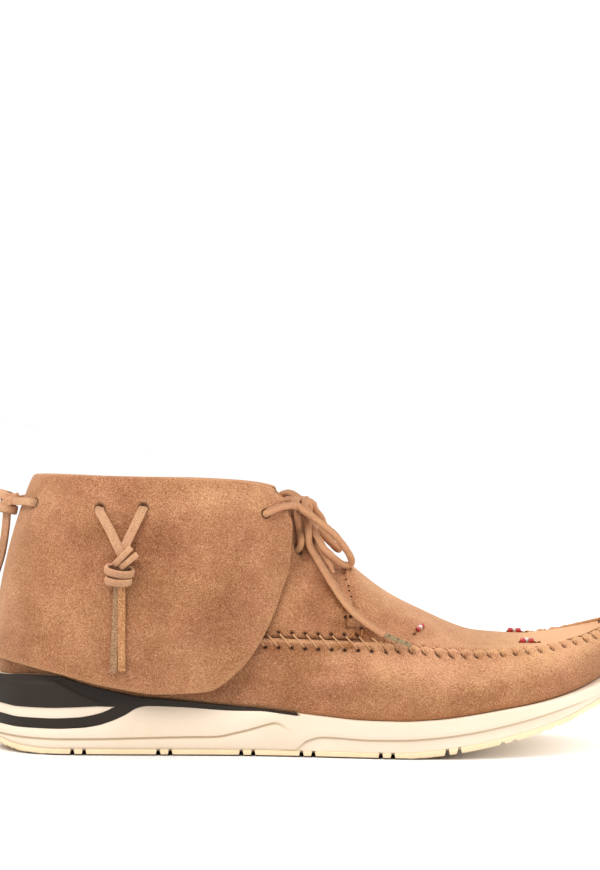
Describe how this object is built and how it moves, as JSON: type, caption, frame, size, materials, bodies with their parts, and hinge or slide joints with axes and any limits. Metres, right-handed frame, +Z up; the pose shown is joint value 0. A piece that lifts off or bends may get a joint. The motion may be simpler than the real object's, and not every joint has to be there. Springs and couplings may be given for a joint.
{
  "type": "moccasin ankle boot",
  "caption": "Suede moccasin ankle boot for the right foot with a fold-over collar flap, thong tassels, a laced throat and a moulded sneaker sole.",
  "frame": {"origin": "on the floor, under the middle of the shoe's length and width", "axes": "+X towards the toe, +Y towards the inner (medial) side, +Z up"},
  "size_m": [0.3069, 0.108, 0.1306],
  "materials": {
    "suede": "matte nap, tan, slightly mottled",
    "lace_suede": "matte round suede cord",
    "footbed_suede": "matte lining suede",
    "midsole_foam": "matte moulded foam, cream",
    "tread_rubber": "matte rubber, pale tan",
    "cradle_plastic": "satin moulded plastic, dark brown",
    "aglet_cloth": "woven khaki tape",
    "bead_glass": "glossy glass beads, red and white"
  },
  "bodies": {
    "root": {"outsole": "tread_rubber", "midsole": "midsole_foam", "heel_cradle": "cradle_plastic", "insole": "footbed_suede", "upper": "suede", "tongue": "suede", "collar_flap": "suede", "tassel_lateral": "suede", "tassel_medial": "suede", "tassel_heel": "suede", "lace_crossing": "lace_suede", "lace_knot": "lace_suede", "lace_loop_lateral": "lace_suede", "lace_loop_medial": "lace_suede", "lace_end_long": "lace_suede", "lace_end_short": "lace_suede", "aglet": "aglet_cloth", "beads_vamp": "bead_glass", "beads_toe_lateral": "bead_glass", "beads_toe_medial": "bead_glass"}
  },
  "joints": []
}
